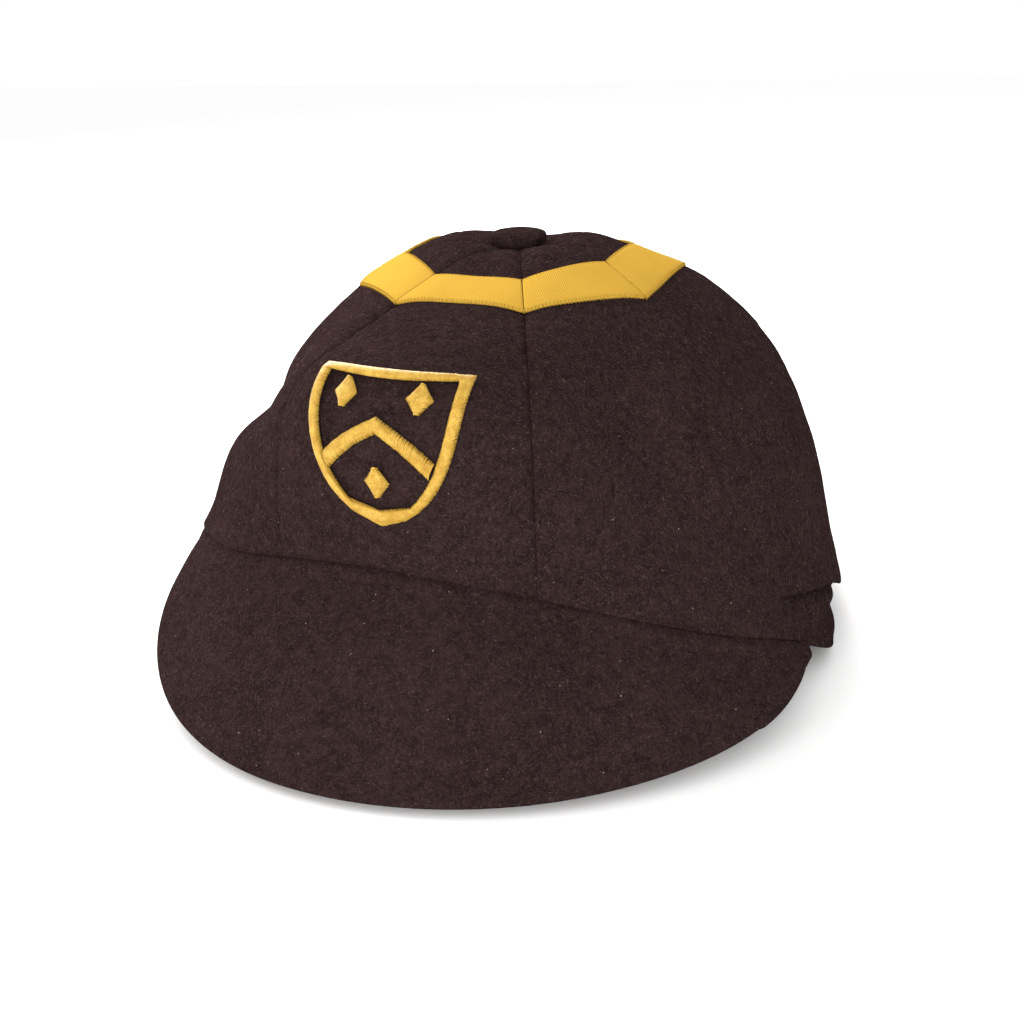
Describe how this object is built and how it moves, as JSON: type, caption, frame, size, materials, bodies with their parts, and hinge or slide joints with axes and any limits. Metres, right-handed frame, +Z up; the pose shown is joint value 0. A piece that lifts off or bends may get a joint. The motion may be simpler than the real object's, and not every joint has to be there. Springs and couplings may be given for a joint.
{
  "type": "school cap",
  "caption": "Soft panelled wool school cap with a short curved peak, a ribbon ring round the crown, a covered button and an embroidered shield badge; worn on a child's head.",
  "frame": {"origin": "on the surface that the cap rests on, under the middle of its bounding box", "axes": "+Z up, -Y towards the front edge of the peak, +X towards the wearer's left side"},
  "size_m": [0.1698, 0.1986, 0.0974],
  "materials": {
    "wool": "dark maroon-brown felted wool cloth, matt and slightly fuzzy",
    "ribbon": "golden yellow ribbed ribbon, low sheen",
    "embroidery": "gold satin stitch embroidery, slightly shiny thread"
  },
  "bodies": {
    "root": {"crown_panel_1": "wool", "crown_panel_2": "wool", "crown_panel_3": "wool", "crown_panel_4": "wool", "crown_panel_5": "wool", "crown_panel_6": "wool", "crown_panel_7": "wool", "crown_panel_8": "wool", "crown_button": "wool", "peak": "wool", "ring_segment_1": "ribbon", "ring_segment_2": "ribbon", "ring_segment_3": "ribbon", "ring_segment_4": "ribbon", "ring_segment_5": "ribbon", "ring_segment_6": "ribbon", "ring_segment_7": "ribbon", "ring_segment_8": "ribbon", "badge_shield": "embroidery", "badge_chevron": "embroidery", "badge_diamond_1": "embroidery", "badge_diamond_2": "embroidery", "badge_diamond_3": "embroidery"}
  },
  "joints": []
}
